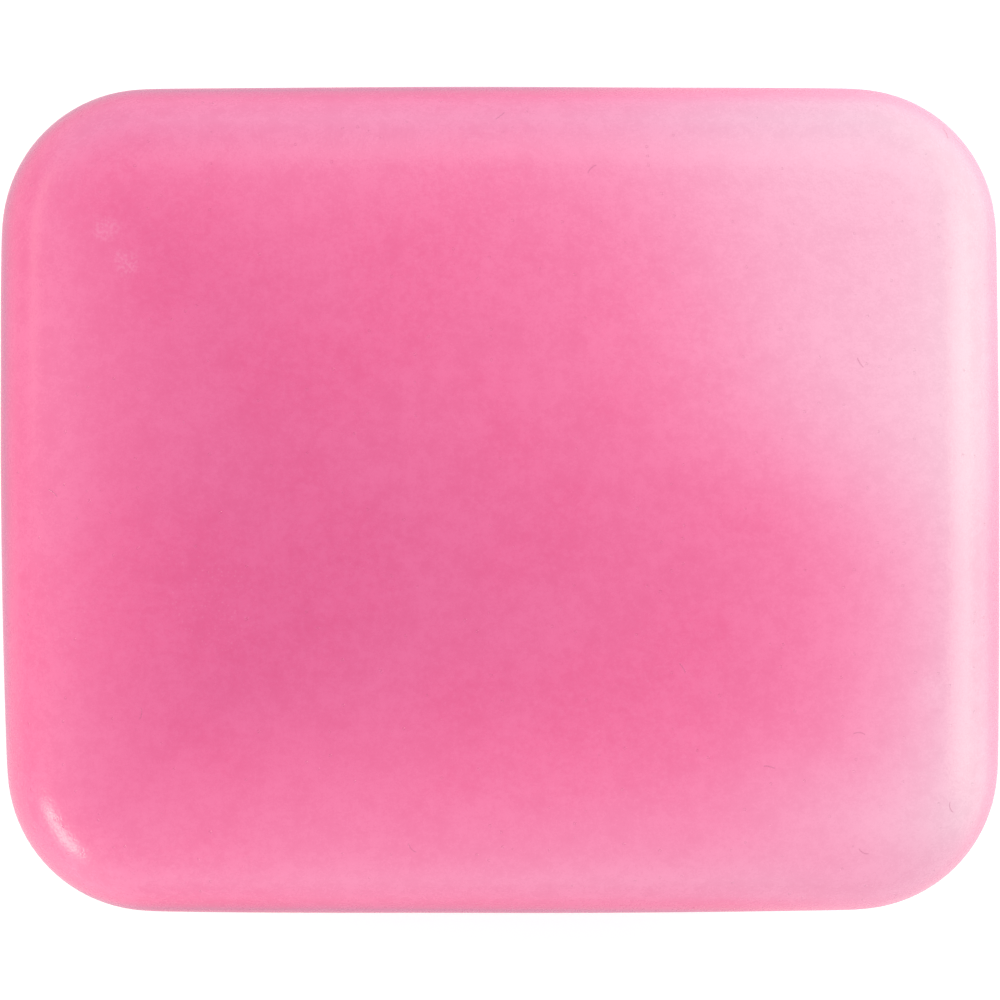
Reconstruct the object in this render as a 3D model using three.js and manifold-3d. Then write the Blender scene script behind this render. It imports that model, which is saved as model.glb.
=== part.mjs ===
// A silicone mini loaf mould for soap: a soft tub with a thick rim, and a lid that lifts off it.
// Millimetres, +Z up. The origin is the middle of the underside, and X runs along the length.

import * as THREE from 'three';
import { mergeVertices } from 'three/addons/utils/BufferGeometryUtils.js';
import Module from 'manifold-3d';

// Driving dimensions. The lid is the widest piece, so its outline is the outline of the object.
const LENGTH = 120;
const WIDTH = 99.3;
const HEIGHT = 75;
const CORNER_RADIUS = 18;
const SIDE_BOW = 0.6; // how far the middle of each soft side stands out past its corners
const GAP = 0.35; // between the lid and the tub, wherever they face each other

// Lid
const LID_HEIGHT = 18;
const TOP_EDGE_RADIUS = 11.4;
const PLATE_THICKNESS = 3; // the middle of the lid, over the soap
const SKIRT_THICKNESS = 2.6;
const LEDGE_DEPTH = 11.4; // from the top of the lid to the ledge that lies on the rim
const RIB_THICKNESS = 2.4; // the rib that drops into the cavity and centres the lid
const RIB_DROP = 4;
const RIB_CLEARANCE = 0.6;

// Tub
const RIM_WIDTH = 4.5; // how far the rim stands out past the wall
const RIM_DEPTH = 6;
const RIM_EDGE_RADIUS = 1;
const WALL_THICKNESS = 3;
const WALL_CORNER_RADIUS = 14;
const FLOOR_THICKNESS = 3.5;
const BASE_EDGE_RADIUS = 9;
const DRAFT_DEGREES = 2;

// Levels and insets that follow from them. An inset is measured inwards from the lid's outline.
const LID_BOTTOM = HEIGHT - LID_HEIGHT;
const LEDGE_Z = HEIGHT - LEDGE_DEPTH;
const RIM_TOP = LEDGE_Z - GAP;
const RIM_INSET = SKIRT_THICKNESS + GAP;
const WALL_INSET = RIM_INSET + RIM_WIDTH;
const CAVITY_INSET = WALL_INSET + WALL_THICKNESS;
const RIB_INSET = CAVITY_INSET + RIB_CLEARANCE;
const HOLLOW_INSET = RIB_INSET + RIB_THICKNESS;
const RIM_CORNER_RADIUS = CORNER_RADIUS - RIM_INSET;
const CAVITY_CORNER_RADIUS = WALL_CORNER_RADIUS - WALL_THICKNESS;
const CAVITY_EDGE_RADIUS = BASE_EDGE_RADIUS - WALL_THICKNESS;

const CURVE_STEPS = 6; // points along a bowed side, and half the points round a corner
const EDGE_STEPS = 6; // facets across a rounded edge
const SAME_POINT = 0.01; // points of an outline nearer than this are one point
const OVERSHOOT = 5; // how far a cutting block runs past what it cuts

const wasm = await Module();
wasm.setup();

// A rounded rectangle with bowed sides, the given distance inside the lid's outline.
function outline(inset, cornerRadius) {
  const x = LENGTH / 2 - inset;
  const y = WIDTH / 2 - inset;
  const r = cornerRadius;
  const sideX = x - SIDE_BOW;
  const sideY = y - SIDE_BOW;
  const shape = new THREE.Shape();
  shape.moveTo(sideX, -sideY + r);
  shape.quadraticCurveTo(x + SIDE_BOW, 0, sideX, sideY - r);
  shape.absarc(sideX - r, sideY - r, r, 0, Math.PI / 2);
  shape.quadraticCurveTo(0, y + SIDE_BOW, -sideX + r, sideY);
  shape.absarc(-sideX + r, sideY - r, r, Math.PI / 2, Math.PI);
  shape.quadraticCurveTo(-x - SIDE_BOW, 0, -sideX, -sideY + r);
  shape.absarc(-sideX + r, -sideY + r, r, Math.PI, 1.5 * Math.PI);
  shape.quadraticCurveTo(0, -y - SIDE_BOW, sideX - r, -sideY);
  shape.absarc(sideX - r, -sideY + r, r, 1.5 * Math.PI, 2 * Math.PI);
  const points = shape.getPoints(CURVE_STEPS);
  const isOwnPoint = (point, i) => point.distanceTo(points[(i + 1) % points.length]) > SAME_POINT;
  return new THREE.Shape(points.filter(isOwnPoint));
}

// A block on that outline from one height to another, with its edges rounded at both ends.
function block(inset, cornerRadius, bottom, top, edgeRadius = 0) {
  const geometry = new THREE.ExtrudeGeometry(outline(inset, cornerRadius), {
    depth: top - bottom - 2 * edgeRadius,
    bevelEnabled: edgeRadius > 0,
    bevelThickness: edgeRadius,
    bevelSize: edgeRadius,
    bevelOffset: -edgeRadius,
    bevelSegments: EDGE_STEPS,
  });
  geometry.translate(0, 0, bottom + edgeRadius);
  return geometry;
}

// Leans the sides in towards the bottom by the draft angle, keeping the size at the height given.
function drafted(geometry, fullSizeZ) {
  const position = geometry.getAttribute('position');
  const lean = Math.tan(THREE.MathUtils.degToRad(DRAFT_DEGREES));
  const halfLength = LENGTH / 2;
  const halfWidth = WIDTH / 2;
  for (let i = 0; i < position.count; i += 1) {
    const inwards = lean * (fullSizeZ - position.getZ(i));
    position.setX(i, position.getX(i) * (1 - inwards / halfLength));
    position.setY(i, position.getY(i) * (1 - inwards / halfWidth));
  }
  return geometry;
}

function toSolid(geometry) {
  geometry.deleteAttribute('normal');
  geometry.deleteAttribute('uv');
  const merged = mergeVertices(geometry);
  const vertProperties = new Float32Array(merged.getAttribute('position').array);
  const triVerts = new Uint32Array(merged.getIndex().array);
  return new wasm.Manifold(new wasm.Mesh({ numProp: 3, vertProperties, triVerts }));
}

function toMesh(name, solid, material) {
  const { vertProperties, triVerts } = solid.getMesh();
  const geometry = new THREE.BufferGeometry();
  geometry.setAttribute('position', new THREE.BufferAttribute(vertProperties, 3));
  geometry.setIndex(new THREE.BufferAttribute(triVerts, 1));
  geometry.computeVertexNormals();
  const mesh = new THREE.Mesh(geometry, material);
  mesh.name = name;
  return mesh;
}

// The tub: a tapered wall with a thick rim at the top, hollowed from above down to the floor.
function mouldBody() {
  const wallTop = RIM_TOP - RIM_DEPTH / 2;
  const blockTop = wallTop + BASE_EDGE_RADIUS + OVERSHOOT;
  const wallBlock = block(WALL_INSET, WALL_CORNER_RADIUS, 0, blockTop, BASE_EDGE_RADIUS);
  const aboveWall = toSolid(block(0, CORNER_RADIUS, wallTop, blockTop + OVERSHOOT));
  const wall = toSolid(drafted(wallBlock, RIM_TOP)).subtract(aboveWall);
  const rimBottom = RIM_TOP - RIM_DEPTH;
  const rim = toSolid(block(RIM_INSET, RIM_CORNER_RADIUS, rimBottom, RIM_TOP, RIM_EDGE_RADIUS));
  const cavityTop = RIM_TOP + CAVITY_EDGE_RADIUS + OVERSHOOT;
  const cavityBlock = block(
    CAVITY_INSET, CAVITY_CORNER_RADIUS, FLOOR_THICKNESS, cavityTop, CAVITY_EDGE_RADIUS,
  );
  const cavity = toSolid(drafted(cavityBlock, RIM_TOP));
  const silicone = new THREE.MeshStandardMaterial({ color: 0xee6f9f, roughness: 0.5, metalness: 0 });
  return toMesh('mould_body', wall.add(rim).subtract(cavity), silicone);
}

// The lid: a block with a wide round top edge. A rebate inside its skirt takes the tub's rim, a rib
// drops into the cavity, and the middle is hollowed to a plate.
function lid() {
  const wholeBottom = LID_BOTTOM - TOP_EDGE_RADIUS - OVERSHOOT;
  const whole = toSolid(block(0, CORNER_RADIUS, wholeBottom, HEIGHT, TOP_EDGE_RADIUS));
  const below = toSolid(block(-OVERSHOOT, CORNER_RADIUS, wholeBottom - OVERSHOOT, LID_BOTTOM));
  const rebateCorner = CORNER_RADIUS - SKIRT_THICKNESS;
  const rebate = toSolid(block(SKIRT_THICKNESS, rebateCorner, LID_BOTTOM - OVERSHOOT, LEDGE_Z));
  const ribCorner = CAVITY_CORNER_RADIUS - RIB_CLEARANCE;
  const ribBottom = LEDGE_Z - RIB_DROP;
  const rib = toSolid(block(RIB_INSET, ribCorner, ribBottom, LEDGE_Z + PLATE_THICKNESS));
  const hollowCorner = ribCorner - RIB_THICKNESS;
  const hollowTop = HEIGHT - PLATE_THICKNESS;
  const hollow = toSolid(block(HOLLOW_INSET, hollowCorner, ribBottom - OVERSHOOT, hollowTop));
  const silicone = new THREE.MeshStandardMaterial({ color: 0xf47fae, roughness: 0.45, metalness: 0 });
  return toMesh('lid', whole.subtract(below).subtract(rebate).add(rib).subtract(hollow), silicone);
}

const group = new THREE.Group();
group.add(mouldBody());
group.add(lid());

export default group;
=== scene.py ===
# The looks of a silicone mini loaf mould for soap: a tub and its lift-off lid. Metres, +Z up.
import math

import bmesh
import bpy
import numpy as np
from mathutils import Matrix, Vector, noise


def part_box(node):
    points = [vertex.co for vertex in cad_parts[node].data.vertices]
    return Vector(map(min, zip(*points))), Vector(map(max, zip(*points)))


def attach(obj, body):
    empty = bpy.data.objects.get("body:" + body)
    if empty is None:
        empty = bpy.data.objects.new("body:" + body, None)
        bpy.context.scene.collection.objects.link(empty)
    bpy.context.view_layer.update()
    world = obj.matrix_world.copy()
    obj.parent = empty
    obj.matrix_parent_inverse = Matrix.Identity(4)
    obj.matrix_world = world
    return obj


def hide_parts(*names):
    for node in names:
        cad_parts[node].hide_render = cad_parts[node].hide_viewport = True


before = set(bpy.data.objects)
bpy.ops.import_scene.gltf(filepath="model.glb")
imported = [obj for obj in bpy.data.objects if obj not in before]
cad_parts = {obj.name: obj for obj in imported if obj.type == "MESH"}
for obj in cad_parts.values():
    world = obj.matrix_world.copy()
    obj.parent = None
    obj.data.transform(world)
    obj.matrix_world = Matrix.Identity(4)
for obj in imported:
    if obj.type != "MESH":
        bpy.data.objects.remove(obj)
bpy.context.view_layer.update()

MM = 0.001

# Sizes read from the frame
LID_LOW, LID_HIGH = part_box("lid")
TUB_LOW, TUB_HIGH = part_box("mould_body")
HALF_LENGTH = LID_HIGH.x
HALF_WIDTH = LID_HIGH.y
LID_TOP = LID_HIGH.z
SKIRT_BOTTOM = LID_LOW.z
RIM_TOP = TUB_HIGH.z
RIM_INSET = HALF_LENGTH - TUB_HIGH.x  # an inset is measured inwards from the lid's outline

# Sizes that the frame's boxes don't give
CORNER_RADIUS = 17.4 * MM  # of the lid's outline, a little fuller than drawn
TOP_EDGE_RADIUS = 11.4 * MM
PARTING_TILT = math.radians(72)  # how far the top edge turns down before it breaks into the skirt
PARTING_DROP = TOP_EDGE_RADIUS * (1 - math.cos(PARTING_TILT))
PARTING_EDGE_RADIUS = 0.35 * MM
PLATE_THICKNESS = 3 * MM
SKIRT_THICKNESS = 2.6 * MM
LEDGE_Z = LID_TOP - 11.4 * MM
RIB_DROP = 4 * MM
RIB_INSET = 11.05 * MM
RIB_THICKNESS = 2.4 * MM
RIB_CORNER = 10.4 * MM
RIM_DEPTH = 6 * MM
WALL_INSET = RIM_INSET + 4.5 * MM
WALL_CORNER = 14 * MM
WALL_THICKNESS = 3 * MM
FLOOR_THICKNESS = 3.5 * MM
BASE_EDGE_RADIUS = 9 * MM
CAVITY_EDGE_RADIUS = 6 * MM
WALL_LEAN = math.tan(math.radians(2))

# How soft silicone differs from the drawing
LID_SAG = 0.35 * MM
WALL_SWELL = 0.9 * MM
WAVINESS = 0.06 * MM
WAVE_LENGTH = 24 * MM
WAVE_SHIFTS = [Vector((0, 0, 0)), Vector((9.3, -1.5, -8.2)), Vector((-4.6, 7.2, 5.9))]  # one per axis
# How far each corner of the outline is drawn in from the drawing, along X and along Y
CORNER_PULL = {
    (1, 1): (0.35 * MM, 0.2 * MM),
    (-1, 1): (0.1 * MM, 0.25 * MM),
    (-1, -1): (0.7 * MM, 0.2 * MM),
    (1, -1): (0.1 * MM, 0.4 * MM),
}

POINT_SPACING = 1.2 * MM  # along a side of the outline
CORNER_POINTS = 24
OUTLINE_SMOOTHING = 4
PROFILE_SPACING = 2 * MM
ARC_SPACING = 0.5 * MM
TOP_EDGE_POINTS = 27
CAP_RINGS = 22


def smoothstep(low, high, value):
    share = min(max((value - low) / (high - low), 0), 1)
    return share * share * (3 - 2 * share)


# ---------------------------------------------------------------- mesh making


def bowed_side(start, end, middle_offset, outward, count):
    """Points of a side between its start and end. Its middle stands out by middle_offset."""
    control = (start + end) / 2 + outward * 2 * middle_offset
    t = (np.arange(1, count) / count)[:, None]
    return start * (1 - t) ** 2 + control * 2 * t * (1 - t) + end * t * t


def outline(inset, radius, swell=0.0):
    """The lid's outline moved inwards, with corners of that radius and sides that swell out further."""
    arcs = []
    for quarter, signs in enumerate([(1, 1), (-1, 1), (-1, -1), (1, -1)]):
        pull = np.array(CORNER_PULL[signs])
        tangents = np.array([HALF_LENGTH, HALF_WIDTH]) - inset - pull
        angles = math.pi / 2 * (quarter + np.arange(CORNER_POINTS + 1) / CORNER_POINTS)
        spokes = np.stack([np.cos(angles), np.sin(angles)], axis=1)
        arcs.append(np.array(signs) * (tangents - radius) + spokes * radius)
    points = []
    for quarter, outward in enumerate([(0, 1), (-1, 0), (0, -1), (1, 0)]):
        start = arcs[quarter][-1]
        end = arcs[(quarter + 1) % 4][0]
        outward = np.array(outward)
        along, across = (HALF_LENGTH, HALF_WIDTH) if outward[0] == 0 else (HALF_WIDTH, HALF_LENGTH)
        middle_offset = across - inset + swell - (start + end) @ outward / 2
        count = round(2 * (along - CORNER_RADIUS) / POINT_SPACING)
        points += [arcs[quarter], bowed_side(start, end, middle_offset, outward, count)]
    points = np.concatenate(points)
    for _ in range(OUTLINE_SMOOTHING):
        points = points / 2 + (np.roll(points, 1, axis=0) + np.roll(points, -1, axis=0)) / 4
    return points


def run(start, end, spacing):
    """Profile points from start up to, but not at, end."""
    count = max(1, round(math.dist(start[:2], end[:2]) / spacing))
    return [start + (end - start) * i / count for i in range(count)]


def edge_arc(last, here, following, radius):
    """Profile points round the corner at here, between its neighbours, on an arc of that radius."""
    to_last = (last - here)[:2] / math.dist(last[:2], here[:2])
    to_next = (following - here)[:2] / math.dist(following[:2], here[:2])
    half_angle = math.acos(to_last @ to_next) / 2
    inner = (to_last + to_next) / np.linalg.norm(to_last + to_next)
    centre = here[:2] + inner * radius / math.sin(half_angle)
    first = here[:2] + to_last * radius / math.tan(half_angle) - centre
    last_spoke = here[:2] + to_next * radius / math.tan(half_angle) - centre
    start = math.atan2(first[1], first[0])
    sweep = math.atan2(first[0] * last_spoke[1] - first[1] * last_spoke[0], first @ last_spoke)
    count = max(4, math.ceil(abs(sweep) * radius / ARC_SPACING))
    points = []
    for i in range(count + 1):
        angle = start + sweep * i / count
        x, z = centre + radius * np.array([math.cos(angle), math.sin(angle)])
        points.append(np.array([x, z, here[2]]))
    return points


def rounded(corners):
    """A profile through corners, each (inset, z, outline radius, edge radius), its corners rounded."""
    places = [np.array(corner[:3]) for corner in corners]
    profile = [places[0]]
    for i in range(1, len(corners) - 1):
        turn = edge_arc(places[i - 1], places[i], places[i + 1], corners[i][3])
        profile += run(profile.pop(), turn[0], PROFILE_SPACING)
        profile += turn
    profile += run(profile.pop(), places[-1], PROFILE_SPACING)
    profile.append(places[-1])
    return profile


def cap_rings(ring, z, dish):
    """Rings from the middle out to a flat area's edge ring, dished by the depth given."""
    shares = np.arange(1, CAP_RINGS) / CAP_RINGS
    rings = []
    for share in shares:
        level = np.full((len(ring), 1), z - dish * (1 - share * share) ** 2)
        rings.append(np.hstack([ring * share, level]))
    return rings


def wavy(point, seed):
    """The slow unevenness of a soft moulding, as an offset. It is the same in every run."""
    where = Vector(point) / WAVE_LENGTH + Vector((seed, 0, 0))
    return np.array([noise.noise(where + shift) for shift in WAVE_SHIFTS]) * WAVINESS


def shell(name, node, profile, outer_dish, inner_dish, swell=None, seed=0.0):
    """A closed body lofted along a profile that runs from one flat middle round to the other.
    It stays in the box of the CAD node that it stands for."""
    loops = []
    for inset, z, radius in profile:
        ring = outline(inset, radius, swell(z) if swell else 0.0)
        loops.append(np.hstack([ring, np.full((len(ring), 1), z)]))
    first_rings = cap_rings(loops[0][:, :2], profile[0][1], outer_dish)
    last_rings = cap_rings(loops[-1][:, :2], profile[-1][1], inner_dish)
    loops = first_rings + loops + last_rings[::-1]
    size = len(loops[0])
    middles = [(0, 0, profile[0][1] - outer_dish), (0, 0, profile[-1][1] - inner_dish)]
    points = [p + wavy(p, seed) for p in np.concatenate(loops + [np.array(middles)])]
    points = np.clip(points, *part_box(node))
    first_middle = size * len(loops)
    last_ring = size * (len(loops) - 1)
    faces = []
    for i in range(size):
        j = (i + 1) % size
        faces.append((first_middle, i, j))
        faces.append((first_middle + 1, last_ring + j, last_ring + i))
        for row in range(0, last_ring, size):
            faces.append((row + i, row + size + i, row + size + j, row + j))
    mesh = bpy.data.meshes.new(name)
    mesh.from_pydata([tuple(p) for p in points], [], faces)
    bm = bmesh.new()
    bm.from_mesh(mesh)
    bmesh.ops.recalc_face_normals(bm, faces=bm.faces)
    bm.to_mesh(mesh)
    bm.free()
    mesh.shade_smooth()
    piece = bpy.data.objects.new(name, mesh)
    bpy.context.scene.collection.objects.link(piece)
    return piece


def lid_mesh():
    """The lid, from the middle of its top round the skirt to the middle of its underside."""
    top_edge = []
    for angle in np.linspace(0, PARTING_TILT, TOP_EDGE_POINTS):
        inset = TOP_EDGE_RADIUS * (math.sin(PARTING_TILT) - math.sin(angle))
        z = LID_TOP - TOP_EDGE_RADIUS * (1 - math.cos(angle))
        top_edge.append(np.array([inset, z, CORNER_RADIUS - inset]))
    top_edge.pop()
    skirt_inner = CORNER_RADIUS - SKIRT_THICKNESS
    rib_bottom = LEDGE_Z - RIB_DROP
    hollow_top = LID_TOP - PLATE_THICKNESS
    hollow_inset = RIB_INSET + RIB_THICKNESS
    hollow_corner = RIB_CORNER - RIB_THICKNESS
    underside = rounded([
        (*top_edge.pop(), 0),
        (0, LID_TOP - PARTING_DROP, CORNER_RADIUS, PARTING_EDGE_RADIUS),
        (0, SKIRT_BOTTOM, CORNER_RADIUS, 0.9 * MM),
        (SKIRT_THICKNESS, SKIRT_BOTTOM, skirt_inner, 0.9 * MM),
        (SKIRT_THICKNESS, LEDGE_Z, skirt_inner, 0.8 * MM),
        (RIB_INSET, LEDGE_Z, RIB_CORNER, 0.6 * MM),
        (RIB_INSET, rib_bottom, RIB_CORNER, 1.0 * MM),
        (hollow_inset, rib_bottom, hollow_corner, 1.0 * MM),
        (hollow_inset, hollow_top, hollow_corner, 2.4 * MM),
        (hollow_inset + 6 * MM, hollow_top, hollow_corner - 3 * MM, 0),
    ])
    return shell("lid_silicone", "lid", top_edge + underside, LID_SAG, LID_SAG, seed=3.1)


def tub_swell(z):
    """How far the tub's wall stands out at the middle of each side, at that height."""
    share = min(max(z / (RIM_TOP - RIM_DEPTH), 0), 1)
    return WALL_SWELL * math.sin(math.pi * share)


def tub_mesh():
    """The tub, from the middle of its base up the wall and down again to the middle of its floor."""

    def wall_inset(inset, z):
        return inset + WALL_LEAN * (RIM_TOP - z)

    cavity_inset = WALL_INSET + WALL_THICKNESS
    cavity_corner = WALL_CORNER - WALL_THICKNESS
    rim_corner = CORNER_RADIUS - RIM_INSET
    rim_bottom = RIM_TOP - RIM_DEPTH
    base_inset = wall_inset(WALL_INSET, 0)
    floor_inset = wall_inset(cavity_inset, FLOOR_THICKNESS)
    profile = rounded([
        (base_inset + BASE_EDGE_RADIUS + 2 * MM, 0, WALL_CORNER - 9.5 * MM, 0),
        (base_inset, 0, WALL_CORNER - 1 * MM, BASE_EDGE_RADIUS),
        (wall_inset(WALL_INSET, rim_bottom), rim_bottom, WALL_CORNER, 1.4 * MM),
        (RIM_INSET, rim_bottom, rim_corner, 1.2 * MM),
        (RIM_INSET, RIM_TOP, rim_corner, 1.2 * MM),
        (cavity_inset, RIM_TOP, cavity_corner, 0.9 * MM),
        (floor_inset, FLOOR_THICKNESS, cavity_corner - 0.5 * MM, CAVITY_EDGE_RADIUS),
        (floor_inset + CAVITY_EDGE_RADIUS + 2 * MM, FLOOR_THICKNESS, cavity_corner - 6.5 * MM, 0),
    ])
    return shell("mould_silicone", "mould_body", profile, 0, 0.1 * MM, tub_swell, seed=7.7)


# ---------------------------------------------------------------- colour depth, with painted light and painted shade

CREST_INSET = 4.8 * MM  # where the painted light along the lid's rounded edge is palest, inwards from the outline
CREST_FADE = 9.8 * MM
CREST_PAINTED_LIGHT = 0.17  # the share of the depth taken off along the crest, as painted light
MIDDLE_CREST_PAINTED_LIGHT = 0.2  # added everywhere but at the left end
RIGHT_CREST_PAINTED_LIGHT = 0.12  # added at the right end
TOP_DEPTH = 1.005
# painted shade: the outline's edge band, the parting edge and the skirt are drawn deeper, darker than
# the top
EDGE_PAINTED_SHADE_DEPTH = 1.12
PARTING_PAINTED_SHADE = 0.2  # painted shade: added to the edge's depth right at the parting edge
SKIRT_PAINTED_SHADE_DEPTH = 0.93
EDGE_WIDTH = 2.8 * MM
TURNED_SMOOTHING = 0.85  # the share of the skin's texture that is gone right at the parting edge

# Painted light: the paleness where light falls from the right end, taken off the pigment's depth
BROAD_PAINTED_LIGHT = 0.24  # share of the depth taken off as painted light, one length from where it starts
BROAD_PAINTED_LIGHT_START = -77 * MM
BROAD_PAINTED_LIGHT_LENGTH = 100 * MM
CLOSE_PAINTED_LIGHT = 0.39
FRONT_SHIFT = 48 * MM  # it reaches less far in front than at the back
FRONT_RETURN = 33 * MM  # but further again along the very front
SKIRT_PAINTED_LIGHT_SHARE = 0.85  # the share of it that reaches the skirt
TUB_PAINTED_LIGHT_SHARE = 0.4


def painted_light_wash(x, y):
    """Painted light: how much of the pigment's depth is taken off to paint the paleness of light falling
    from the right end.
    """
    x -= FRONT_SHIFT * (1 - smoothstep(-31 * MM, 21 * MM, y))
    x += FRONT_RETURN * (1 - smoothstep(-38 * MM, 1 * MM, y))
    broad = BROAD_PAINTED_LIGHT * (max(x - BROAD_PAINTED_LIGHT_START, 0) / BROAD_PAINTED_LIGHT_LENGTH) ** 2
    close = CLOSE_PAINTED_LIGHT * smoothstep(4.5 * MM, 41.5 * MM, x)
    return 1 - (1 - broad) * (1 - close)


def from_outline(x, y):
    """Distance inwards from the lid's outline, taken as a rounded rectangle."""
    radius = CORNER_RADIUS
    dx = abs(x) - (HALF_LENGTH - radius)
    dy = abs(y) - (HALF_WIDTH - radius)
    outside = math.hypot(max(dx, 0), max(dy, 0)) + min(max(dx, dy), 0)
    return radius - outside


def below_parting(co):
    """0 down to the lid's parting edge and 1 on its skirt."""
    return smoothstep(0, 2 * MM, LID_TOP - PARTING_DROP - co.z)


def crest_painted_light(x, y, inward):
    """Painted light: the share of the depth taken off along the crest of the lid's rounded edge, fading
    inwards.
    """
    loss = CREST_PAINTED_LIGHT + MIDDLE_CREST_PAINTED_LIGHT * smoothstep(-58 * MM, -50 * MM, x)
    loss += RIGHT_CREST_PAINTED_LIGHT * smoothstep(36 * MM, 58 * MM, x)
    loss *= 1 - 0.6 * smoothstep(28 * MM, 46 * MM, x) * smoothstep(36 * MM, 45 * MM, -y)
    loss *= smoothstep(-2 * MM, CREST_INSET, inward)
    fade = CREST_FADE * (1 + 0.4 * smoothstep(20 * MM, 36 * MM, -y))
    return loss * math.exp(-max(inward - CREST_INSET, 0) / fade)


def lid_depth_with_painted_light_and_shade(co):
    """Deepest in the middle, with painted light along the crest of the rounded edge and from the right
    end, and painted shade at the outline, the parting edge and down the skirt.
    """
    inward = from_outline(co.x, co.y)
    # painted light: paler towards the right end, where the light falls
    loss = painted_light_wash(co.x, co.y)
    # painted light along the crest of the rounded edge, fading inwards
    top = TOP_DEPTH * (1 - crest_painted_light(co.x, co.y, inward)) * (1 - loss)
    # painted shade: deeper along the outline, deepest right at the parting edge
    edge = EDGE_PAINTED_SHADE_DEPTH + PARTING_PAINTED_SHADE * (1 - smoothstep(0, 1.2 * MM, inward))
    # painted shade down the skirt, lighter where the painted light from the right end reaches
    skirt = (edge + (SKIRT_PAINTED_SHADE_DEPTH - edge) * below_parting(co)) * (1 - SKIRT_PAINTED_LIGHT_SHARE * loss)
    return top + (skirt - top) * (1 - smoothstep(0, EDGE_WIDTH, inward))


def tub_depth_with_painted_light(co):
    """A little paler near the base and near the rim, and paler towards the right end with the lid's
    painted light.
    """
    near_base = 1 - smoothstep(0, 16 * MM, co.z)
    near_rim = smoothstep(RIM_TOP - 14 * MM, RIM_TOP, co.z)
    # the lid's painted light from the right end, weaker on the tub
    return (1 - 0.18 * near_base - 0.22 * near_rim) * (1 - TUB_PAINTED_LIGHT_SHARE * painted_light_wash(co.x, co.y))


def lid_texture(co):
    """The skin is drawn smoother where the top edge turns down to the parting edge."""
    turned = 1 - smoothstep(0, 2.5 * MM, from_outline(co.x, co.y))
    return 1 - TURNED_SMOOTHING * turned * (1 - below_parting(co))


def tub_texture(co):
    """The tub's skin is the same all over."""
    return 1.0


def paint(piece, depth, texture):
    """Stores at each vertex how deep the pigment looks, with the painted light and painted shade in it,
    and how strong the skin's texture is, up to 1.
    """
    for name, rule in [("pigment", depth), ("texture", texture)]:
        attribute = piece.data.attributes.new(name, "FLOAT", "POINT")
        attribute.data.foreach_set("value", [rule(v.co) for v in piece.data.vertices])


# ---------------------------------------------------------------- materials


class Nodes:
    """Short calls that add nodes to a material and link them. A value is a number or a socket."""

    def __init__(self, material):
        material.use_nodes = True
        self.tree = material.node_tree
        self.shader = self.tree.nodes["Principled BSDF"]

    def add(self, kind, inputs=None, **settings):
        node = self.tree.nodes.new(kind)
        for key, value in settings.items():
            setattr(node, key, value)
        for key, value in (inputs or {}).items():
            self.put(node.inputs[key], value)
        return node

    def put(self, socket, value):
        if isinstance(value, bpy.types.NodeSocket):
            self.tree.links.new(value, socket)
        else:
            socket.default_value = value

    def math(self, operation, *values):
        node = self.add("ShaderNodeMath", operation=operation)
        for socket, value in zip(node.inputs, values):
            self.put(socket, value)
        return node.outputs[0]

    def vector(self, operation, *values):
        """A vector operation. A value of None leaves its socket alone."""
        node = self.add("ShaderNodeVectorMath", operation=operation)
        for socket, value in zip(node.inputs, values):
            if value is not None:
                self.put(socket, value)
        return node.outputs[0]

    def colour_noise(self, where, scale):
        """Noise in three channels, each around 0."""
        node = self.add("ShaderNodeTexNoise", {"Vector": where, "Scale": scale})
        return self.vector("SUBTRACT", node.outputs["Color"], (0.5, 0.5, 0.5))

    def noise(self, where, scale, detail=2.0, roughness=0.5):
        node = self.add("ShaderNodeTexNoise", {
            "Vector": where, "Scale": scale, "Detail": detail, "Roughness": roughness,
        })
        return node.outputs["Fac"]

    def mapped(self, value, low, high, to_low=0.0, to_high=1.0):
        node = self.add("ShaderNodeMapRange", {
            "Value": value, "From Min": low, "From Max": high, "To Min": to_low, "To Max": to_high,
        }, interpolation_type="SMOOTHSTEP")
        return node.outputs["Result"]

    def mix(self, share, first, second):
        node = self.add("ShaderNodeMix", data_type="RGBA")
        self.put(node.inputs["Factor"], share)
        self.put(node.inputs[6], first)
        self.put(node.inputs[7], second)
        return node.outputs[2]


GREEN_LOSS = 2.07  # how much the pink pigment takes from white light at full depth
BLUE_LOSS = 1.12
RED_LOSS = 0.24  # red is hardly taken until the pigment is deep
DEEPEST_RED = 1.1
RED_POWER = 7.0
PALEST = 0.875
SILICONE_IOR = 1.41

# What lies on the silicone's skin. A scale is in cells, or noise waves, to the metre.
CLOUD_SCALE = 42
BLOOM_SCALE = 260
PEEL_SCALE = 1250
DUST_SCALE = 2600
GRAIN_SCALE = 2400
DIRT_SCALE = 120
LINT_SCALE = 95
PIT_SCALE = 700
SPECK_RADIUS = 0.13 * MM
PIT_RADIUS = 0.2 * MM
LINT_LENGTH = 1.5 * MM
LINT_WIDTH = 0.13 * MM
BUMP_DEPTH = 0.05 * MM

DUST_COLOUR = (0.97, 0.5, 0.7, 1)
GRAIN_COLOUR = (0.97, 0.6, 0.76, 1)
DIRT_COLOUR = (0.4, 0.1, 0.2, 1)
LINT_COLOUR = (0.5, 0.13, 0.26, 1)


def pigment_colour(n, even_depth, depth):
    """White light after it has gone that deep into the pigment. Red follows the even depth."""
    red_depth = n.math("MINIMUM", even_depth, DEEPEST_RED)
    losses = [
        n.math("MULTIPLY", n.math("POWER", red_depth, RED_POWER), -RED_LOSS),
        n.math("MULTIPLY", depth, -GREEN_LOSS),
        n.math("MULTIPLY", depth, -BLUE_LOSS),
    ]
    node = n.add("ShaderNodeCombineColor")
    for socket, loss in zip(node.inputs, losses):
        n.put(socket, n.math("MULTIPLY", n.math("EXPONENT", loss), PALEST))
    return node.outputs[0]


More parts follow.
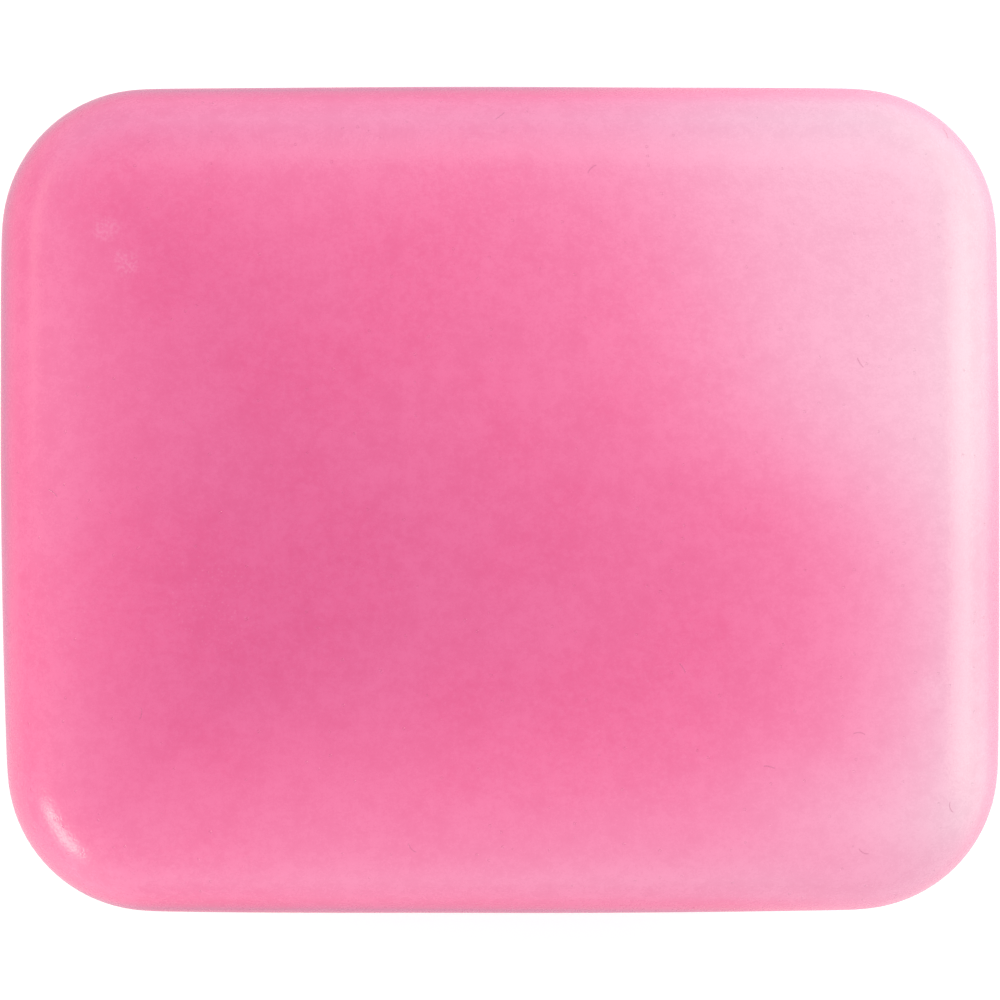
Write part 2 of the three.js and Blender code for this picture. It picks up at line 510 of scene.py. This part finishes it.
def specks(n, where, scale, radius, share):
    """Round specks in a share of the cells of a grid of that many cells to the metre."""
    cells = n.add("ShaderNodeTexVoronoi", {"Vector": where, "Scale": scale})
    pick = n.add("ShaderNodeSeparateColor", {"Color": cells.outputs["Color"]})
    near = n.mapped(cells.outputs["Distance"], radius * scale * 0.5, radius * scale, 1.0, 0.0)
    chosen = n.math("LESS_THAN", pick.outputs[0], share)
    return n.math("MULTIPLY", near, chosen)


def lint(n, where, scale, length, width, share):
    """Short curved hairs lying on the surface, at most one in each cell of a grid."""
    cells = n.add("ShaderNodeTexVoronoi", {"Vector": where, "Scale": scale, "Randomness": 0.8})
    pick = n.add("ShaderNodeSeparateColor", {"Color": cells.outputs["Color"]})
    local = n.vector("SUBTRACT", where, cells.outputs["Position"])
    turned = n.add("ShaderNodeVectorRotate", {
        "Vector": local, "Angle": n.math("MULTIPLY", pick.outputs[1], 2 * math.pi),
    }, rotation_type="Z_AXIS")
    parts = n.add("ShaderNodeSeparateXYZ", {"Vector": turned.outputs[0]})
    along = parts.outputs[0]
    curl = n.math("MULTIPLY", n.math("SUBTRACT", pick.outputs[2], 0.5), 1.6 / length)
    bend = n.math("MULTIPLY", n.math("MULTIPLY", along, along), curl)
    across = n.math("ABSOLUTE", n.math("SUBTRACT", parts.outputs[1], bend))
    thin = n.mapped(across, width * 0.3, width * 0.7, 1.0, 0.0)
    short = n.mapped(n.math("ABSOLUTE", along), length * 0.4, length * 0.5, 1.0, 0.0)
    chosen = n.math("LESS_THAN", pick.outputs[0], share)
    return n.math("MULTIPLY", n.math("MULTIPLY", thin, short), chosen)


# Rubbed spots on the lid's top: the middle of each, and how far it reaches
SCUFFS = [
    ((-46.3 * MM, 31.9 * MM), 2.3 * MM),
    ((-43.9 * MM, 27.9 * MM), 2.1 * MM),
    ((50.6 * MM, -22.2 * MM), 2.8 * MM),
]


def rubbed(n, where):
    """Near 1 inside the rubbed spots, with ragged edges."""
    ragged = n.vector("ADD", where, n.vector("SCALE", n.colour_noise(where, 600), None, None, 1.6 * MM))
    result = 0.0
    for (x, y), reach in SCUFFS:
        distance = n.add("ShaderNodeVectorMath", {0: ragged, 1: (x, y, LID_TOP)}, operation="DISTANCE")
        spot = n.mapped(distance.outputs["Value"], reach * 0.3, reach, 1.0, 0.0)
        result = n.math("MAXIMUM", result, spot)
    return result


def silicone(name, roughness, dusty):
    """Soft pink silicone: pigment depth with painted light and painted shade in it, a powdery bloom,
    orange peel in patches, pits, dust and lint.
    It is dusty up to 1."""
    material = bpy.data.materials.new(name)
    n = Nodes(material)
    where = n.add("ShaderNodeTexCoord").outputs["Object"]
    # the pigment depth attribute also carries the painted light and painted shade
    even_depth = n.add("ShaderNodeAttribute", attribute_name="pigment").outputs["Fac"]
    clouds = n.noise(where, CLOUD_SCALE)
    bloom = n.noise(where, BLOOM_SCALE, 4, 0.95)
    peel = n.add("ShaderNodeTexVoronoi", {"Vector": where, "Scale": PEEL_SCALE}).outputs["Distance"]
    peel = n.math("MULTIPLY", peel, n.mapped(clouds, 0.45, 0.6))
    depth = n.math("MULTIPLY", even_depth, n.mapped(clouds, 0.25, 0.75, 0.98, 1.02))
    depth = n.math("MULTIPLY", depth, n.mapped(bloom, 0.3, 0.7, 1.03, 0.97))
    depth = n.math("MULTIPLY", depth, n.mapped(peel, 0.0, 0.8, 0.995, 1.03))
    scuffs = rubbed(n, where)
    depth = n.math("MULTIPLY", depth, n.mapped(scuffs, 0.0, 1.0, 1.0, 0.965))
    colour = pigment_colour(n, even_depth, depth)
    shade = n.mapped(bloom, 0.3, 0.7, 0.975, 1.025)
    colour = n.vector("SCALE", colour, None, None, shade)
    dust = specks(n, where, DUST_SCALE, SPECK_RADIUS, 0.3)
    dust = n.math("MULTIPLY", dust, n.mapped(clouds, 0.62, 0.7, 0.02, 0.3))
    colour = n.mix(n.math("MULTIPLY", dust, 0.3 * dusty), colour, DUST_COLOUR)
    grains = n.math("MULTIPLY", n.mapped(n.noise(where, GRAIN_SCALE, 1), 0.45, 0.6), scuffs)
    colour = n.mix(n.math("MULTIPLY", grains, 0.1), colour, GRAIN_COLOUR)
    dirt = specks(n, where, DIRT_SCALE, SPECK_RADIUS, 0.12)
    colour = n.mix(n.math("MULTIPLY", dirt, 0.6 * dusty), colour, DIRT_COLOUR)
    hairs = lint(n, where, LINT_SCALE, LINT_LENGTH, LINT_WIDTH, 0.07)
    colour = n.mix(n.math("MULTIPLY", hairs, 0.4 * dusty), colour, LINT_COLOUR)
    n.put(n.shader.inputs["Base Color"], colour)
    n.put(n.shader.inputs["Roughness"], n.mapped(bloom, 0.3, 0.7, roughness - 0.05, roughness + 0.05))
    pits = specks(n, where, PIT_SCALE, PIT_RADIUS, 0.3)
    height = n.math("SUBTRACT", n.math("MULTIPLY", bloom, 1.4), n.math("MULTIPLY", peel, 0.3))
    height = n.math("ADD", height, n.math("MULTIPLY", hairs, 0.4))
    height = n.math("SUBTRACT", height, pits)
    texture = n.add("ShaderNodeAttribute", attribute_name="texture").outputs["Fac"]
    height = n.math("MULTIPLY", height, texture)
    bump = n.add("ShaderNodeBump", {"Strength": 1.0, "Distance": BUMP_DEPTH, "Height": height})
    n.put(n.shader.inputs["Normal"], bump.outputs[0])
    n.shader.inputs["IOR"].default_value = SILICONE_IOR
    return material


# ---------------------------------------------------------------- stage, lights and camera

FLOOR_SIZE = 4.0
PAPER_GLOW = 0.28
WORLD_STRENGTH = 0.664
FRAMING = 1.0015  # the camera's distance, over the one at which the lid fills the frame's width


def paper():
    """Plain white paper that glows a little, so that it stays white under the mould."""
    material = bpy.data.materials.new("white_paper")
    n = Nodes(material)
    where = n.add("ShaderNodeTexCoord").outputs["Object"]
    tooth = n.noise(where, 900, 3, 0.6)
    n.put(n.shader.inputs["Base Color"], n.mix(tooth, (0.92, 0.92, 0.92, 1), (0.95, 0.95, 0.95, 1)))
    n.shader.inputs["Roughness"].default_value = 0.9
    n.shader.inputs["Emission Color"].default_value = (1, 1, 1, 1)
    n.shader.inputs["Emission Strength"].default_value = PAPER_GLOW
    return material


def make_floor():
    bpy.ops.mesh.primitive_plane_add(size=FLOOR_SIZE, location=(0, 0, 0))
    floor = bpy.context.object
    floor.name = "floor"
    floor.data.materials.append(paper())


def area_light(name, place, target, size, energy, colour=(1, 1, 1)):
    light = bpy.data.lights.new(name, "AREA")
    light.shape = "RECTANGLE"
    light.size, light.size_y = size
    light.energy = energy
    light.color = colour
    lamp = bpy.data.objects.new(name, light)
    lamp.location = place
    lamp.rotation_euler = (Vector(target) - Vector(place)).to_track_quat("-Z", "Y").to_euler()
    bpy.context.scene.collection.objects.link(lamp)


def make_lights():
    world = bpy.data.worlds.new("studio")
    bpy.context.scene.world = world
    world.use_nodes = True
    background = world.node_tree.nodes["Background"]
    background.inputs["Color"].default_value = (1, 1, 1, 1)
    background.inputs["Strength"].default_value = WORLD_STRENGTH
    middle = (0, 0, LID_TOP)
    warm = (1, 0.95, 0.74)
    cool = (0.85, 0.7, 1)
    area_light("right_strip", (0.42, 0.005, 0.265), middle, (0.24, 0.22), 0.52, warm)
    area_light("left_strip", (-0.4, 0.14, 0.2), middle, (0.24, 0.06), 0.13, warm)
    area_light("left_corner", (-0.355, -0.25, 0.195), middle, (0.2, 0.07), 0.72, warm)
    area_light("window", (0.14, 0.31, 0.58), middle, (0.5, 0.4), 1.07)
    area_light("front_fill", (0, -0.42, 0.25), middle, (0.5, 0.2), 0.15, cool)
    area_light("back_fill", (-0.1, 0.42, 0.25), middle, (0.5, 0.2), 0.13, cool)


def make_camera():
    """A camera straight above the lid."""
    camera = bpy.data.cameras.new("camera")
    camera.lens = 100
    camera.sensor_width = 36
    view = bpy.data.objects.new("camera", camera)
    outline_z = LID_TOP - PARTING_DROP
    distance = 2 * HALF_LENGTH * camera.lens / camera.sensor_width * FRAMING
    view.location = (0, 0, outline_z + distance)
    view.rotation_euler = (0, 0, 0)
    bpy.context.scene.collection.objects.link(view)
    bpy.context.scene.camera = view


def make_mould():
    """Both pieces, painted and put in the place of their CAD nodes."""
    lid = lid_mesh()
    paint(lid, lid_depth_with_painted_light_and_shade, lid_texture)
    lid.data.materials.append(silicone("lid_silicone", 0.27, 1.0))
    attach(lid, "lid")
    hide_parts("lid")
    tub = tub_mesh()
    paint(tub, tub_depth_with_painted_light, tub_texture)
    tub.data.materials.append(silicone("body_silicone", 0.32, 0.5))
    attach(tub, "mould_body")
    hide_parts("mould_body")


make_camera()
make_mould()
make_floor()
make_lights()
bpy.context.scene.view_settings.view_transform = "Standard"
